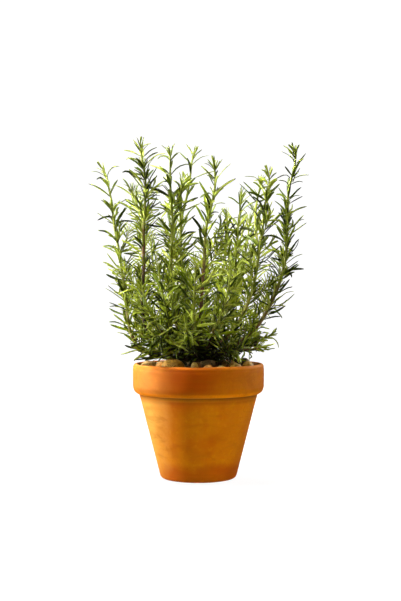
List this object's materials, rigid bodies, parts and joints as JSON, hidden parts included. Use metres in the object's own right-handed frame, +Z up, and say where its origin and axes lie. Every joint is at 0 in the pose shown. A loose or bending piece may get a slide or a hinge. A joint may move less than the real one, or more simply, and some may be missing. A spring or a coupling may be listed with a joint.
{
  "type": "potted rosemary plant",
  "caption": "Bushy rosemary plant with slender needle leaves on upright stems, standing in soil under rounded pebbles in a tapered clay pot with a raised rim band.",
  "frame": {"origin": "centre of the pot's underside, on the pot's axis", "axes": "+Z up along the pot's axis, -Y towards the side the plant is usually looked at from, +X to that viewer's right"},
  "size_m": [0.2913, 0.2512, 0.4412],
  "materials": {
    "terracotta": "matte",
    "soil": "matte",
    "bark": "matte",
    "leaf": "satin",
    "stone_tan": "satin",
    "stone_gold": "satin",
    "stone_beige": "satin",
    "stone_rose": "satin",
    "stone_grey": "satin"
  },
  "bodies": {
    "root": {"pot": "terracotta", "potting_soil": "soil", "woody_crown": "bark", "sprig_far_left": "leaf", "sprig_left_tall": "leaf", "sprig_centre_left": "leaf", "sprig_centre_tall": "leaf", "sprig_centre_right": "leaf", "sprig_right_inner": "leaf", "sprig_right_mid": "leaf", "sprig_far_right": "leaf", "sprig_back_centre": "leaf", "sprig_back_right": "leaf", "sprig_low_right": "leaf", "sprig_low_right_front": "leaf", "sprig_front_centre": "leaf", "sprig_front_right": "leaf", "sprig_front_left_pale": "leaf", "sprig_front_low_left": "leaf", "sprig_back_left": "leaf", "sprig_back_mid_left": "leaf", "sprig_back_mid": "leaf", "sprig_back_low_left": "leaf", "sprig_back_low_right": "leaf", "sprig_low_left": "leaf", "sprig_low_back": "leaf", "sprig_low_front": "leaf", "sprig_left_small": "leaf", "sprig_centre_small": "leaf", "sprig_right_small": "leaf", "pebble_tan_left": "stone_tan", "pebble_golden_long": "stone_gold", "pebble_round_small": "stone_beige", "pebble_orange": "stone_rose", "pebble_flat": "stone_beige", "pebble_beige": "stone_beige", "pebble_yellow": "stone_gold", "pebble_brown": "stone_tan", "pebble_dark_right": "stone_grey", "pebble_01": "stone_rose", "pebble_02": "stone_tan", "pebble_03": "stone_beige", "pebble_04": "stone_grey", "pebble_05": "stone_gold", "pebble_06": "stone_rose", "pebble_07": "stone_tan", "pebble_08": "stone_beige", "pebble_09": "stone_grey", "pebble_10": "stone_gold", "pebble_11": "stone_rose", "pebble_12": "stone_tan", "pebble_13": "stone_beige", "pebble_14": "stone_grey", "pebble_15": "stone_gold", "pebble_16": "stone_rose", "pebble_17": "stone_tan", "pebble_18": "stone_beige", "pebble_19": "stone_grey"}
  },
  "joints": []
}
